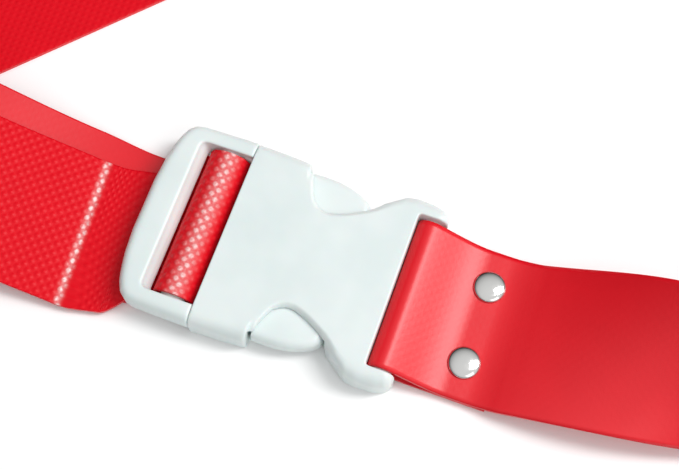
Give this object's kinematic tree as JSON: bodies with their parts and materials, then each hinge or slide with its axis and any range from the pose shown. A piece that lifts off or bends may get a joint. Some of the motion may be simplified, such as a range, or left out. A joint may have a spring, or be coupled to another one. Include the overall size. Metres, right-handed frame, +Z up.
{
  "type": "luggage strap",
  "caption": "Coated luggage strap that loops round a suitcase and closes with a side-release buckle, with a riveted end and an adjustable tail.",
  "frame": {"origin": "on the flat underside of the buckle housing, in the middle of its width", "axes": "+X along the buckle from plug to housing, +Y towards the rear latch button, +Z up from the table"},
  "size_m": [0.6631, 0.388, 0.05],
  "materials": {
    "buckle_plastic": "moulded white acetal, satin",
    "rivet_metal": "nickel plated, polished",
    "strap_fabric": "red coated woven strap, one face glossy, one face with the weave showing"
  },
  "bodies": {
    "housing": {"buckle_housing": "buckle_plastic", "rivet_caps": "rivet_metal", "rivet_posts": "rivet_metal", "strap_anchor_loop": "strap_fabric", "strap_right_run": "strap_fabric", "strap_far_bend": "strap_fabric", "strap_back_run": "strap_fabric"},
    "plug": {"plug_frame": "buckle_plastic", "strap_back_lead": "strap_fabric", "strap_fold": "strap_fabric", "strap_load_run": "strap_fabric", "strap_ladder_wrap": "strap_fabric"},
    "rear_latch": {"latch_arm_rear": "buckle_plastic"},
    "front_latch": {"latch_arm_front": "buckle_plastic"},
    "tail": {"strap_tail": "strap_fabric"}
  },
  "joints": [
    {"name": "plug_release", "type": "slide", "parent": "housing", "child": "plug", "axis": [-1, 0, 0], "range_m": [0, 0.045], "deforming": ["latch_arm_rear", "latch_arm_front"]},
    {"name": "rear_latch_press", "type": "hinge", "parent": "plug", "child": "rear_latch", "pos_m": [-0.024, 0.0235, 0.0065], "axis": [0, 0, -1], "range_deg": [0, 9], "stiffness_Nm_per_rad": 1},
    {"name": "front_latch_press", "type": "hinge", "parent": "plug", "child": "front_latch", "pos_m": [-0.024, -0.0235, 0.0065], "axis": [0, 0, 1], "range_deg": [0, 9], "stiffness_Nm_per_rad": 1},
    {"name": "tail_draw", "type": "slide", "parent": "plug", "child": "tail", "axis": [-1, 0, 0], "range_m": [0, 0.05], "deforming": ["strap_tail"]}
  ]
}
